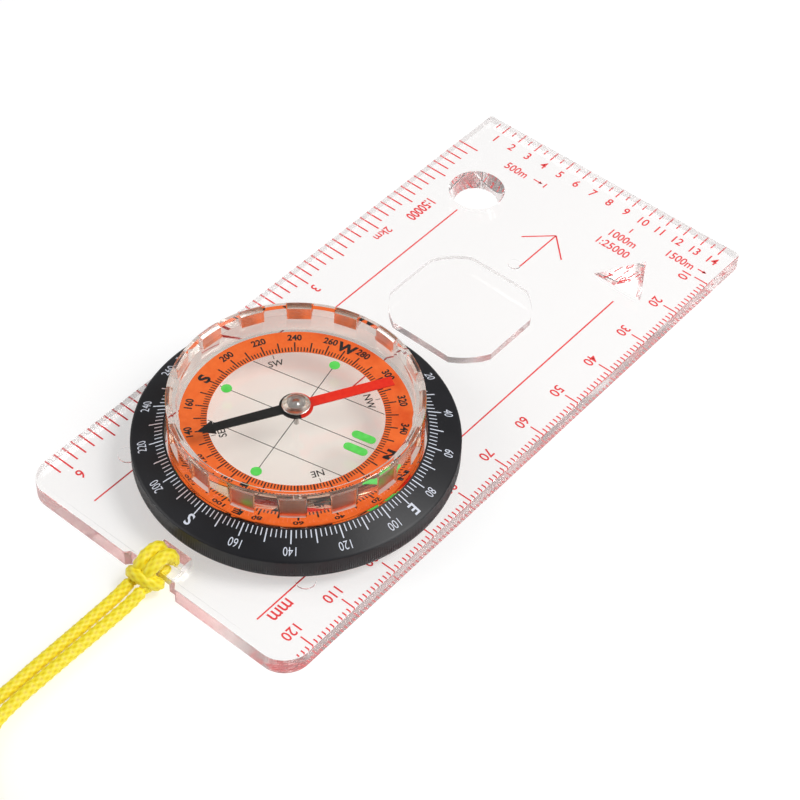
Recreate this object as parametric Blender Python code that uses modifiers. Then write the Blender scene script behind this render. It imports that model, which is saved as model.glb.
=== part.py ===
"""Baseplate compass: a clear ruler plate with a magnifier, a turning degree ring, a liquid-filled capsule
that turns inside it, a needle on a steel pivot, and a cord lanyard hitched to the plate's rear bar.

Frame: +Y is the direction of travel, +Z is up, and the origin is the centre of the plate's underside.
Azimuths are clockwise from +Y, as on a compass. Heights called "level" are above the plate's top face.
"""

import math

import bmesh
import bpy
from mathutils import Matrix, Vector

MM = 0.001
GAP = 0.3 * MM

# Baseplate
PLATE_WIDTH = 60.0 * MM
PLATE_LENGTH = 126.7 * MM
PLATE_THICKNESS = 3.4 * MM
PLATE_EDGE_ROUND = 0.5 * MM
FRONT_CORNER_RADIUS = 0.7 * MM
REAR_CORNER_RADIUS = 5.0 * MM
NOTCH_LOW_X, NOTCH_HIGH_X = -6.0 * MM, 5.5 * MM
NOTCH_DEPTH = 0.9 * MM
SLOT_LOW_X, SLOT_HIGH_X = -2.85 * MM, 3.35 * MM
SLOT_FRONT_Y, SLOT_REAR_Y = -57.05 * MM, -59.55 * MM
BAR_RELIEF = 1.7 * MM
HOLE_CENTRE = (-18.2 * MM, 44.1 * MM)
HOLE_TOP_RADIUS, HOLE_LOW_RADIUS = 5.4 * MM, 4.25 * MM
TRIANGLE_TOP = ((12.5 * MM, 40.65 * MM), (17.9 * MM, 49.8 * MM), (23.1 * MM, 40.75 * MM))
TRIANGLE_TAPER = 0.8
BOSS_AZIMUTHS = (135.0, 225.0)
BOSS_ORBIT, BOSS_RADIUS, BOSS_HEIGHT = 28.7 * MM, 1.8 * MM, 0.12 * MM

# Magnifier
LENS_CENTRE = (0.15 * MM, 16.35 * MM)
LENS_RADIUS = 13.0 * MM
LENS_HALF_WIDTH, LENS_HALF_LENGTH = 11.7 * MM, 11.3 * MM
LENS_EDGE, LENS_CROWN = 1.45 * MM, 2.0 * MM

# Turning parts, all about one vertical axis
DIAL_Y = -27.8 * MM
TOP = PLATE_THICKNESS
RING_OUTER, RING_INNER = 28.2 * MM, 22.3 * MM
RING_LOW, RING_OUTER_LEVEL, RING_INNER_LEVEL = 0.3 * MM, 4.0 * MM, 5.7 * MM
FLANGE_RADIUS = 24.6 * MM
CAPSULE_RADIUS = 21.8 * MM
CAPSULE_LEVEL = 13.5 * MM
GRIP_POCKETS = 16
GRIP_AZIMUTH = 139.4
GRIP_DEPTH = 0.8 * MM
GRIP_LOW, GRIP_HIGH = 7.8 * MM, 12.0 * MM
DIAL_INNER, DIAL_OUTER = 15.05 * MM, 19.8 * MM
DIAL_LEVEL = 3.95 * MM
DIAL_NORTH = 77.0
MARK_ORBIT = 13.6 * MM
NEEDLE_AZIMUTH = 29.0
NEEDLE_HALF = 17.3 * MM
NEEDLE_LEVEL = 8.7 * MM
FILLER_AZIMUTH, FILLER_ORBIT = 250.0, 17.4 * MM

# Lanyard
CORD = 2.3 * MM
HITCH_LOW_X, HITCH_HIGH_X = -2.5 * MM, 2.1 * MM
COIL_CENTRE = (-0.3 * MM, -124.0 * MM)
COIL_MIDDLE = 13.5 * MM
COIL_COLUMNS, COIL_LAYERS = 3, 3
COIL_PITCH = 2.35 * MM

ROUND_STEPS = 64
SMALL_STEPS = 24


# ---- helpers -------------------------------------------------------------------------------------

def clear_scene():
    for obj in list(bpy.data.objects):
        bpy.data.objects.remove(obj)


def collection(name):
    found = bpy.data.collections.new(name)
    bpy.context.scene.collection.children.link(found)
    return found


def material(name, colour, roughness, metallic=0.0, transmission=0.0, alpha=1.0):
    made = bpy.data.materials.new(name)
    made.use_nodes = True
    shader = made.node_tree.nodes["Principled BSDF"]
    shader.inputs["Base Color"].default_value = (*colour, 1.0)
    shader.inputs["Roughness"].default_value = roughness
    shader.inputs["Metallic"].default_value = metallic
    shader.inputs["Transmission Weight"].default_value = transmission
    shader.inputs["Alpha"].default_value = alpha
    made.diffuse_color = (*colour, alpha)
    return made


def add(name, data, skin=None, home=None):
    """An object in the parts collection, or in the cutters collection as a hidden helper."""
    obj = bpy.data.objects.new(name, data)
    (home or PARTS).objects.link(obj)
    if home is CUTTERS:
        obj.hide_render = True
        obj.display_type = "WIRE"
    if skin:
        data.materials.append(skin)
    return obj


def direction(azimuth):
    angle = math.radians(azimuth)
    return Vector((math.sin(angle), math.cos(angle)))


def arc(centre, radius, start, end, steps):
    """Points from angle start to angle end in degrees, counter-clockwise from +X when end > start."""
    points = []
    for i in range(steps + 1):
        angle = math.radians(start + (end - start) * i / steps)
        points.append((centre[0] + radius * math.cos(angle), centre[1] + radius * math.sin(angle)))
    return points


def turned(name, profile, skin=None, home=None, steps=ROUND_STEPS, closed=False):
    """A profile of (radius, height) turned about Z. It runs top to bottom on its outer side."""
    mesh = bpy.data.meshes.new(name)
    last = len(profile) - 1
    edges = [(i, i + 1) for i in range(last)]
    if closed:
        edges.append((last, 0))
    mesh.from_pydata([(r, 0.0, z) for r, z in profile], edges, [])
    obj = add(name, mesh, skin, home)
    screw = obj.modifiers.new("Screw", "SCREW")
    screw.axis = "Z"
    screw.steps = screw.render_steps = steps
    screw.use_merge_vertices = True
    screw.merge_threshold = 0.000001
    return obj


def extruded(name, loops, low, high, skin=None, home=None):
    """Flat closed loops, the first outermost, filled and raised from low to high."""
    curve = bpy.data.curves.new(name, "CURVE")
    curve.dimensions = "2D"
    curve.fill_mode = "BOTH"
    curve.extrude = (high - low) / 2
    for loop in loops:
        spline = curve.splines.new("POLY")
        spline.points.add(len(loop) - 1)
        spline.use_cyclic_u = True
        for point, (x, y) in zip(spline.points, loop):
            point.co = (x, y, 0.0, 1.0)
    flat = bpy.data.objects.new(name + "_outline", curve)
    flat.location.z = (low + high) / 2
    CUTTERS.objects.link(flat)
    return meshed(flat, name, skin, home)


def meshed(curve_object, name, skin=None, home=None):
    """The curve object as a mesh object, with its caps welded on."""
    bpy.context.view_layer.update()
    graph = bpy.context.evaluated_depsgraph_get()
    mesh = bpy.data.meshes.new_from_object(curve_object.evaluated_get(graph))
    mesh.name = name
    shape = bmesh.new()
    shape.from_mesh(mesh)
    bmesh.ops.remove_doubles(shape, verts=shape.verts, dist=0.000001)
    bmesh.ops.recalc_face_normals(shape, faces=shape.faces)
    shape.to_mesh(mesh)
    shape.free()
    mesh.materials.clear()
    obj = add(name, mesh, skin, home)
    obj.matrix_world = curve_object.matrix_world.copy()
    bpy.data.objects.remove(curve_object)
    return obj


def block(name, low, high, home=None):
    """A box between two corners."""
    shape = bmesh.new()
    bmesh.ops.create_cube(shape, size=1.0)
    size = [b - a for a, b in zip(low, high)]
    middle = [(a + b) / 2 for a, b in zip(low, high)]
    bmesh.ops.transform(shape, matrix=Matrix.Translation(middle) @ Matrix.Diagonal((*size, 1.0)), verts=shape.verts)
    mesh = bpy.data.meshes.new(name)
    shape.to_mesh(mesh)
    shape.free()
    return add(name, mesh, None, home or CUTTERS)


def frustum(name, low_radius, high_radius, low, high, centre, steps=SMALL_STEPS):
    """A helper cone or cylinder standing on a vertical axis through centre."""
    shape = bmesh.new()
    bmesh.ops.create_cone(shape, cap_ends=True, segments=steps, radius1=low_radius, radius2=high_radius,
                          depth=high - low,
                          matrix=Matrix.Translation((centre[0], centre[1], (low + high) / 2)))
    mesh = bpy.data.meshes.new(name)
    shape.to_mesh(mesh)
    shape.free()
    return add(name, mesh, None, CUTTERS)


def combine(target, other, operation="DIFFERENCE"):
    modifier = target.modifiers.new(other.name, "BOOLEAN")
    modifier.operation = operation
    modifier.solver = "EXACT"
    modifier.object = other


def level(height):
    """World height of a level above the plate's top face."""
    return TOP + height


def smooth(obj, angle=35.0):
    obj.data.shade_smooth()
    obj.data.set_sharp_from_angle(angle=math.radians(angle))


def axis_empty(name):
    empty = bpy.data.objects.new(name, None)
    empty.location = (0.0, DIAL_Y, 0.0)
    PARTS.objects.link(empty)
    return empty


def on_axis(obj, empty, azimuth=0.0):
    """Hangs the piece on its joint's axis, turned clockwise by azimuth degrees."""
    obj.parent = empty
    obj.rotation_euler.z = -math.radians(azimuth)
    return obj


# ---- baseplate -----------------------------------------------------------------------------------

def plate_outline():
    half_x, half_y = PLATE_WIDTH / 2, PLATE_LENGTH / 2
    front, rear = FRONT_CORNER_RADIUS, REAR_CORNER_RADIUS
    notch = -half_y + NOTCH_DEPTH
    points = arc((half_x - front, half_y - front), front, 0, 90, 3)
    points += arc((-half_x + front, half_y - front), front, 90, 180, 3)
    points += arc((-half_x + rear, -half_y + rear), rear, 180, 270, 10)
    points += [(NOTCH_LOW_X, -half_y), (NOTCH_LOW_X + NOTCH_DEPTH, notch)]
    points += [(NOTCH_HIGH_X - NOTCH_DEPTH, notch), (NOTCH_HIGH_X, -half_y)]
    points += arc((half_x - rear, -half_y + rear), rear, 270, 360, 10)
    return points


def round_top_edge(obj, width, segments):
    """Rounds the upper rim of a plain extruded piece."""
    shape = bmesh.new()
    shape.from_mesh(obj.data)
    highest = max(vertex.co.z for vertex in shape.verts)
    rim = []
    for edge in shape.edges:
        at_top = all(vertex.co.z > highest - 0.000001 for vertex in edge.verts)
        normals = [abs(face.normal.z) for face in edge.link_faces]
        if at_top and min(normals) < 0.5 < max(normals):
            rim.append(edge)
    bmesh.ops.bevel(shape, geom=rim, offset=width, segments=segments, affect="EDGES", profile=0.5)
    shape.to_mesh(obj.data)
    shape.free()


def tapered_prism(name, top, scale, low, high):
    """A prism through the plate whose lower outline is a scaled copy of its upper one."""
    centre = Vector((sum(p[0] for p in top) / len(top), sum(p[1] for p in top) / len(top)))
    prism = extruded(name, [top], low, high, home=CUTTERS)
    middle = prism.matrix_world.translation.z
    for vertex in prism.data.vertices:
        depth = (high - (vertex.co.z + middle)) / (high - low)
        factor = 1.0 + (scale - 1.0) * depth
        vertex.co.x = centre.x + (vertex.co.x - centre.x) * factor
        vertex.co.y = centre.y + (vertex.co.y - centre.y) * factor
    return prism


def baseplate():
    plate = extruded("baseplate", [plate_outline()], 0.0, PLATE_THICKNESS, CLEAR)
    round_top_edge(plate, PLATE_EDGE_ROUND, 2)
    slope = (HOLE_TOP_RADIUS - HOLE_LOW_RADIUS) / PLATE_THICKNESS
    past = 1.0 * MM
    combine(plate, frustum("hole_cutter", HOLE_LOW_RADIUS - slope * past, HOLE_TOP_RADIUS + slope * past,
                           -past, PLATE_THICKNESS + past, HOLE_CENTRE, 40))
    combine(plate, tapered_prism("triangle_cutter", TRIANGLE_TOP, TRIANGLE_TAPER, -0.01 * MM,
                                 PLATE_THICKNESS + 0.01 * MM))
    combine(plate, block("slot_cutter", (SLOT_LOW_X, SLOT_REAR_Y, -past),
                         (SLOT_HIGH_X, SLOT_FRONT_Y, PLATE_THICKNESS + past)))
    combine(plate, block("bar_relief_cutter", (SLOT_LOW_X, -PLATE_LENGTH / 2 - past, -past),
                         (SLOT_HIGH_X, SLOT_REAR_Y + past, BAR_RELIEF)))
    for i, azimuth in enumerate(BOSS_AZIMUTHS):
        centre = direction(azimuth) * BOSS_ORBIT + Vector((0.0, DIAL_Y))
        combine(plate, frustum(f"boss_{i}", BOSS_RADIUS, BOSS_RADIUS, PLATE_THICKNESS - past,
                               level(BOSS_HEIGHT), centre), "UNION")
    smooth(plate)


def lens_outline():
    """A circle with four flats."""
    start = math.degrees(math.acos(LENS_HALF_WIDTH / LENS_RADIUS))
    end = math.degrees(math.asin(LENS_HALF_LENGTH / LENS_RADIUS))
    points = arc(LENS_CENTRE, LENS_RADIUS, start, end, 12)
    points += arc(LENS_CENTRE, LENS_RADIUS, 180 - end, 180 - start, 12)
    points += arc(LENS_CENTRE, LENS_RADIUS, 180 + start, 180 + end, 12)
    points += arc(LENS_CENTRE, LENS_RADIUS, 360 - end, 360 - start, 12)
    return points


def magnifier_lens():
    """A plano-convex disc with four flats, bonded to the plate."""
    rise = LENS_CROWN - LENS_EDGE
    sphere = (LENS_RADIUS ** 2 + rise ** 2) / (2 * rise)
    low = level(GAP)
    profile = [(0.0, level(LENS_CROWN))]
    reach = LENS_RADIUS + 0.3 * MM
    for i in range(1, 9):
        r = reach * i / 8
        profile.append((r, level(LENS_CROWN) - sphere + math.sqrt(sphere ** 2 - r ** 2)))
    profile += [(reach, low), (0.0, low)]
    lens = turned("magnifier_lens", profile, CLEAR, steps=48)
    lens.location = (LENS_CENTRE[0], LENS_CENTRE[1], 0.0)
    keep = extruded("lens_flats", [lens_outline()], 0.0, 2 * level(LENS_CROWN), home=CUTTERS)
    combine(lens, keep, "INTERSECT")
    smooth(lens)


# ---- degree ring ---------------------------------------------------------------------------------

RETAINER_LOW, RETAINER_LIP, RETAINER_HIGH = 0.3 * MM, 1.6 * MM, 2.2 * MM
RETAINER_INNER, RETAINER_STEM, RETAINER_HOOK = 26.0 * MM, 26.55 * MM, 26.95 * MM
GROOVE_HIGH = RETAINER_HIGH + GAP


def bezel_retainer():
    """The snap ring on the plate whose lip hooks into the degree ring's groove."""
    profile = [(RETAINER_HOOK, level(RETAINER_HIGH)), (RETAINER_HOOK, level(RETAINER_LIP)),
               (RETAINER_STEM, level(RETAINER_LIP)), (RETAINER_STEM, level(RETAINER_LOW)),
               (RETAINER_INNER, level(RETAINER_LOW)), (RETAINER_INNER, level(RETAINER_HIGH))]
    ring = turned("bezel_retainer", profile, CLEAR, closed=True)
    ring.location.y = DIAL_Y


def bezel_ring(empty):
    pocket = FLANGE_RADIUS + 1.3 * GAP
    shoulder = 1.6 * MM + GAP
    profile = [(RING_INNER, level(RING_INNER_LEVEL)),
               (RING_OUTER - 0.35 * MM, level(RING_OUTER_LEVEL)),
               (RING_OUTER, level(RING_OUTER_LEVEL - 0.35 * MM)),
               (RING_OUTER, level(RING_LOW)),
               (RETAINER_STEM + GAP, level(RING_LOW)),
               (RETAINER_STEM + GAP, level(RETAINER_LIP - GAP)),
               (RETAINER_HOOK + GAP, level(RETAINER_LIP - GAP)),
               (RETAINER_HOOK + GAP, level(GROOVE_HIGH)),
               (RETAINER_INNER - GAP, level(GROOVE_HIGH)),
               (RETAINER_INNER - GAP, level(RING_LOW)),
               (pocket, level(RING_LOW)),
               (pocket, level(shoulder)),
               (RING_INNER, level(shoulder))]
    smooth(on_axis(turned("bezel_ring", profile, BLACK, closed=True, steps=72), empty))


# ---- capsule -------------------------------------------------------------------------------------

BASE_LOW, FLANGE_HIGH, FLOOR_HIGH = 0.35 * MM, 1.6 * MM, 2.6 * MM
SPIGOT_RADIUS = 19.8 * MM
WALL_INNER = 20.15 * MM
COVER_LOW, CEILING = 3.0 * MM, 11.6 * MM
SEAL_RADIUS, SEAL_THICKNESS = 20.75 * MM, 0.4 * MM
SOCKET_RADIUS, PIVOT_BOSS_RADIUS, PIVOT_BOSS_LEVEL = 0.75 * MM, 1.5 * MM, 3.9 * MM
PLUG_HOLE, PLUG_RADIUS, PLUG_HEAD = 1.0 * MM, 0.7 * MM, 1.3 * MM


def capsule_base(empty):
    """The cup's floor, with the flange that the degree ring holds down and the pivot's boss."""
    profile = [(0.0, level(1.2 * MM)), (SOCKET_RADIUS, level(1.2 * MM)),
               (SOCKET_RADIUS, level(PIVOT_BOSS_LEVEL)), (PIVOT_BOSS_RADIUS, level(PIVOT_BOSS_LEVEL)),
               (PIVOT_BOSS_RADIUS, level(FLOOR_HIGH)), (SPIGOT_RADIUS, level(FLOOR_HIGH)),
               (SPIGOT_RADIUS, level(FLANGE_HIGH)), (FLANGE_RADIUS, level(FLANGE_HIGH)),
               (FLANGE_RADIUS, level(BASE_LOW)), (0.0, level(BASE_LOW))]
    base = on_axis(turned("capsule_base", profile, CLEAR), empty)
    centre = direction(FILLER_AZIMUTH) * FILLER_ORBIT + Vector((0.0, DIAL_Y))
    combine(base, frustum("filler_hole_cutter", PLUG_HOLE, PLUG_HOLE, 0.0, level(2 * FLOOR_HIGH), centre, 16))
    smooth(base)


def filler_plug(empty):
    """The plug that closes the hole the liquid goes in through, sealed from inside the cup's floor."""
    profile = [(0.0, level(FLOOR_HIGH - GAP)), (PLUG_RADIUS, level(FLOOR_HIGH - GAP)),
               (PLUG_RADIUS, level(BASE_LOW + GAP)), (0.0, level(BASE_LOW + GAP))]
    plug = turned("filler_plug", profile, CLEAR, steps=16)
    plug.parent = empty
    plug.location.xy = direction(FILLER_AZIMUTH) * FILLER_ORBIT
    smooth(plug)


def capsule_seal(empty):
    profile = arc((SEAL_RADIUS, level(FLANGE_HIGH + GAP + SEAL_THICKNESS)), SEAL_THICKNESS, 0, -324, 9)
    smooth(on_axis(turned("capsule_seal", profile, CLEAR, closed=True, steps=48), empty))


def capsule_cover(empty):
    """The clear cup over the dial, with shallow grip pockets round its wall."""
    rim_inner = 21.0 * MM
    step = 0.4 * MM
    profile = [(0.0, level(CAPSULE_LEVEL - step)), (rim_inner - step, level(CAPSULE_LEVEL - step)),
               (rim_inner, level(CAPSULE_LEVEL)), (CAPSULE_RADIUS - step / 2, level(CAPSULE_LEVEL)),
               (CAPSULE_RADIUS, level(CAPSULE_LEVEL - step / 2)), (CAPSULE_RADIUS, level(COVER_LOW)),
               (WALL_INNER, level(COVER_LOW)), (WALL_INNER, level(CEILING)), (0.0, level(CEILING))]
    cover = on_axis(turned("capsule_cover", profile, CLEAR), empty)
    half = CAPSULE_RADIUS * math.radians(360 / GRIP_POCKETS / 4)
    shape = bmesh.new()
    for i in range(GRIP_POCKETS):
        turn = Matrix.Rotation(-math.radians(GRIP_AZIMUTH + i * 360 / GRIP_POCKETS), 4, "Z")
        place = Matrix.Translation((0.0, CAPSULE_RADIUS + GRIP_DEPTH, level((GRIP_LOW + GRIP_HIGH) / 2)))
        size = Matrix.Diagonal((2 * half, 4 * GRIP_DEPTH, GRIP_HIGH - GRIP_LOW, 1.0))
        bmesh.ops.create_cube(shape, size=1.0, matrix=Matrix.Translation((0, DIAL_Y, 0)) @ turn @ place @ size)
    mesh = bpy.data.meshes.new("grip_pocket_cutters")
    shape.to_mesh(mesh)
    shape.free()
    combine(cover, add("grip_pocket_cutters", mesh, None, CUTTERS))
    smooth(cover)


def meridian_disc(empty):
    hole = PIVOT_BOSS_RADIUS + GAP
    profile = [(DIAL_OUTER, level(DIAL_LEVEL - GAP)), (DIAL_OUTER, level(FLOOR_HIGH + GAP)),
               (hole, level(FLOOR_HIGH + GAP)), (hole, level(DIAL_LEVEL - GAP))]
    smooth(on_axis(turned("meridian_disc", profile, CLEAR, closed=True), empty, DIAL_NORTH))


def dial_ring(empty):
    thickness = 0.25 * MM
    profile = [(DIAL_OUTER, level(DIAL_LEVEL + thickness)), (DIAL_OUTER, level(DIAL_LEVEL)),
               (DIAL_INNER, level(DIAL_LEVEL)), (DIAL_INNER, level(DIAL_LEVEL + thickness))]
    smooth(on_axis(turned("dial_ring", profile, ORANGE, closed=True), empty, DIAL_NORTH))


def luminous_marks(empty):
    """Three dots at west, south and east, and two bars beside the north meridian."""
    low, high = level(DIAL_LEVEL), level(DIAL_LEVEL + 0.15 * MM)
    for name, bearing in (("west", 270.0), ("south", 180.0), ("east", 90.0)):
        centre = direction(bearing) * MARK_ORBIT
        dot = extruded(f"luminous_dot_{name}", [arc(centre, 0.95 * MM, 0, 345, 23)], low, high, GREEN)
        on_axis(dot, empty, DIAL_NORTH)
    half_width, inner, outer = 0.8 * MM, 9.9 * MM, 14.3 * MM
    for name, x in (("left", -1.5 * MM), ("right", 1.5 * MM)):
        loop = arc((x, outer - half_width), half_width, 0, 180, 8)
        loop += arc((x, inner + half_width), half_width, 180, 360, 8)
        bar = extruded(f"luminous_bar_{name}", [loop], low, high, GREEN)
        on_axis(bar, empty, DIAL_NORTH)


def pivot_pin(empty):
    radius, tip = 0.45 * MM, 0.06 * MM
    profile = [(0.0, level(9.35 * MM)), (tip, level(9.3 * MM)), (radius, level(8.2 * MM)),
               (radius, level(1.5 * MM)), (0.0, level(1.5 * MM))]
    smooth(on_axis(turned("pivot_pin", profile, STEEL, steps=16), empty))


# ---- needle --------------------------------------------------------------------------------------

def needle_strip(empty):
    """A flat magnetised strip: blunt at its north end, an arrow at its south end."""
    half, waist, hub, head, barb = 1.0 * MM, 0.85 * MM, 2.9 * MM, 2.9 * MM, 1.5 * MM
    side = math.degrees(math.asin(half / hub))
    loop = [(half, NEEDLE_HALF)]
    loop += [(-half, NEEDLE_HALF)]
    loop += arc((0.0, 0.0), hub, 90 + side, 270 - side, 12)
    loop += [(-waist, -NEEDLE_HALF + head), (-barb, -NEEDLE_HALF + head), (0.0, -NEEDLE_HALF)]
    loop += [(barb, -NEEDLE_HALF + head), (waist, -NEEDLE_HALF + head)]
    loop += arc((0.0, 0.0), hub, -90 + side, 90 - side, 12)
    hole = arc((0.0, 0.0), 1.35 * MM, 0, 345, 23)
    strip = extruded("needle_strip", [loop, hole], level(NEEDLE_LEVEL), level(NEEDLE_LEVEL + 0.35 * MM), RED)
    on_axis(strip, empty, NEEDLE_AZIMUTH)


def needle_cap(empty):
    """The bright cap riveted through the strip, bored from below for the jewel and the pin."""
    bore, stub = 0.8 * MM, 1.0 * MM
    seat = NEEDLE_LEVEL + 0.35 * MM + GAP
    profile = [(0.0, level(10.6 * MM)), (1.3 * MM, level(10.6 * MM)), (1.6 * MM, level(10.4 * MM)),
               (2.45 * MM, level(seat + 0.35 * MM)), (2.45 * MM, level(seat)), (stub, level(seat)),
               (stub, level(NEEDLE_LEVEL - 0.3 * MM)), (bore, level(NEEDLE_LEVEL - 0.3 * MM)),
               (bore, level(10.2 * MM)), (0.0, level(10.2 * MM))]
    smooth(on_axis(turned("needle_cap", profile, SILVER, steps=40), empty))


def pivot_jewel(empty):
    """The hard cup that rides on the pin's point."""
    profile = [(0.0, level(10.0 * MM)), (0.5 * MM, level(10.0 * MM)), (0.5 * MM, level(9.45 * MM)),
               (0.35 * MM, level(9.45 * MM)), (0.0, level(9.7 * MM))]
    smooth(on_axis(turned("pivot_jewel", profile, JEWEL, steps=16), empty))


# ---- lanyard -------------------------------------------------------------------------------------

STRAND_START_Y = -67.1 * MM
COIL_TURN_SPREAD = COIL_COLUMNS * COIL_PITCH / 2
# Centre points of the two strands, from the hitch to the coil: (x, y, z)
RIGHT_STRAND = ((1.2, -67.1, 1.9), (1.1, -70, 1.45), (1.0, -76, 1.2), (0.95, -82, 1.18), (1.0, -88, 1.18),
                (1.1, -94, 1.18), (1.9, -99.5, 1.18), (4.9, -104.4, 1.18), (8.4, -107.2, 1.18),
                (11.4, -109.6, 1.18))
LEFT_STRAND = ((-1.5, -67.1, 1.9), (-1.55, -70, 1.45), (-1.55, -76, 1.2), (-1.5, -82, 1.18),
               (-1.45, -88, 1.18), (-1.35, -94, 1.18), (-2.0, -99.5, 1.3), (-5.4, -104.4, 2.0),
               (-9.2, -107.2, 2.8), (-12.0, -109.6, 3.4))


def smooth_route(points, spacing):
    """Points at an even spacing along a Catmull-Rom curve through the route's own points."""
    knots = [Vector(p) * MM for p in points]
    knots = [2 * knots[0] - knots[1]] + knots + [2 * knots[-1] - knots[-2]]
    fine = []
    for a, b, c, d in zip(knots, knots[1:], knots[2:], knots[3:]):
        for i in range(20):
            t = i / 20
            fine.append(0.5 * (2 * b + (c - a) * t + (2 * a - 5 * b + 4 * c - d) * t ** 2
                               + (3 * b - a - 3 * c + d) * t ** 3))
    fine.append(knots[-2])
    route, travelled = [fine[0]], 0.0
    for before, after in zip(fine, fine[1:]):
        travelled += (after - before).length
        if travelled >= spacing:
            route.append(after)
            travelled = 0.0
    route[-1] = fine[-1]
    return route


def strand(name, points):
    curve = bpy.data.curves.new(name, "CURVE")
    curve.dimensions = "3D"
    curve.bevel_depth = CORD / 2
    curve.bevel_resolution = 2
    curve.use_fill_caps = True
    spline = curve.splines.new("POLY")
    route = smooth_route(points, 2.5 * CORD)
    spline.points.add(len(route) - 1)
    for point, place in zip(spline.points, route):
        point.co = (*place, 1.0)
    add(name, curve, YELLOW)


def lanyard_coil():
    """The outer shape of the stowed cord: three columns of turns in two layers."""
    inner = COIL_MIDDLE - COIL_TURN_SPREAD
    outer = COIL_MIDDLE + COIL_TURN_SPREAD
    low, high = 0.03 * MM, 0.03 * MM + COIL_LAYERS * COIL_PITCH
    soft = 0.6 * MM
    profile = [(inner + soft, high), (outer - soft, high), (outer, high - soft), (outer, low + soft),
               (outer - soft, low), (inner + soft, low), (inner, low + soft), (inner, high - soft)]
    coil = turned("lanyard_coil", profile, YELLOW, closed=True, steps=48)
    coil.location.xy = COIL_CENTRE
    smooth(coil)


def lanyard_hitch():
    """The hitch round the plate's rear bar: through the slot, over the bar, under it and out at the back."""
    front, rear = SLOT_FRONT_Y - GAP, STRAND_START_Y + GAP
    low, high = 0.05 * MM, level(3.0 * MM)
    bar_front, bar_rear = SLOT_REAR_Y + GAP, -PLATE_LENGTH / 2 + NOTCH_DEPTH - GAP
    lobe = 2.2 * MM
    outer = arc((front - lobe, high - lobe), lobe, 0, 90, 6)
    outer += arc((rear + lobe, high - lobe), lobe, 90, 180, 6)
    outer += arc((rear + 1.4 * MM, low + 1.4 * MM), 1.4 * MM, 180, 270, 4)
    outer += arc((front - 0.8 * MM, low + 0.8 * MM), 0.8 * MM, 270, 360, 3)
    window = [(bar_front, BAR_RELIEF - GAP), (bar_front, level(GAP)), (bar_rear, level(GAP)),
              (bar_rear, BAR_RELIEF - GAP)]
    hitch = extruded("lanyard_hitch", [outer, window], HITCH_LOW_X, HITCH_HIGH_X, YELLOW)
    # The outline was drawn with Y and Z as its own X and Y, so its thickness turns to lie along X.
    hitch.data.transform(Matrix(((0, 0, 1, 0), (1, 0, 0, 0), (0, 1, 0, 0), (0, 0, 0, 1))) @ hitch.matrix_world)
    hitch.matrix_world = Matrix.Identity(4)


# ---- build ---------------------------------------------------------------------------------------

clear_scene()
PARTS = collection("baseplate_compass")
CUTTERS = collection("cutters")
CLEAR = material("clear_acrylic", (0.93, 0.91, 0.9), 0.05, transmission=0.9, alpha=0.35)
BLACK = material("black_plastic", (0.02, 0.02, 0.024), 0.45)
ORANGE = material("orange_print", (0.95, 0.2, 0.04), 0.5)
GREEN = material("luminous_green", (0.1, 0.75, 0.12), 0.5)
RED = material("needle_red", (0.85, 0.04, 0.02), 0.4)
STEEL = material("pivot_steel", (0.55, 0.55, 0.56), 0.25, metallic=1.0)
SILVER = material("bright_cap", (0.75, 0.74, 0.72), 0.22, metallic=1.0)
JEWEL = material("jewel", (0.6, 0.1, 0.15), 0.1)
YELLOW = material("yellow_cord", (0.9, 0.62, 0.02), 0.7)

baseplate()
magnifier_lens()
bezel_retainer()

bezel_axis = axis_empty("bezel_axis")
bezel_ring(bezel_axis)

capsule_axis = axis_empty("capsule_axis")
capsule_base(capsule_axis)
filler_plug(capsule_axis)
capsule_seal(capsule_axis)
capsule_cover(capsule_axis)
meridian_disc(capsule_axis)
dial_ring(capsule_axis)
luminous_marks(capsule_axis)
pivot_pin(capsule_axis)

needle_axis = axis_empty("needle_axis")
needle_strip(needle_axis)
needle_cap(needle_axis)
pivot_jewel(needle_axis)

lanyard_hitch()
strand("lanyard_strand_left", LEFT_STRAND)
strand("lanyard_strand_right", RIGHT_STRAND)
lanyard_coil()
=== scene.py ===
"""The looks of the baseplate compass. Lengths are in millimetres until a mesh is made."""

import math

import bmesh
import bpy
from mathutils import Matrix, Vector


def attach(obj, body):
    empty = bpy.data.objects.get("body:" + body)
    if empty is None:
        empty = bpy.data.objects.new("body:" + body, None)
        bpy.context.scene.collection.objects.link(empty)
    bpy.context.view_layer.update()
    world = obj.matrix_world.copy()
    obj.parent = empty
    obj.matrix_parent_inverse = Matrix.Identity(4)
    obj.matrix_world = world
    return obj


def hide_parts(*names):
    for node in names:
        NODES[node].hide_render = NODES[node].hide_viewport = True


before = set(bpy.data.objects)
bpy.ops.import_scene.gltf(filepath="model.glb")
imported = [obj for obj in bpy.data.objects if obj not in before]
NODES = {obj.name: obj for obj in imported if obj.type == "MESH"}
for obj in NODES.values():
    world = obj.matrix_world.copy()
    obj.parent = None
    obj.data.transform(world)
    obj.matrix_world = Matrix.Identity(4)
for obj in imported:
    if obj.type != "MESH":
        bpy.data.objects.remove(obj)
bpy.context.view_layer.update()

MM = 0.001
# Height of the plate's top face, and the axis that the ring, the capsule and the needle share
TOP = 3.4
DIAL = Vector((0.0, -27.8))
# Bearings at rest of the dial's north mark and the needle's red end
DIAL_NORTH = 77.0
NEEDLE_AZIMUTH = 29.0


# ---- camera --------------------------------------------------------------------------------------

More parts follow.
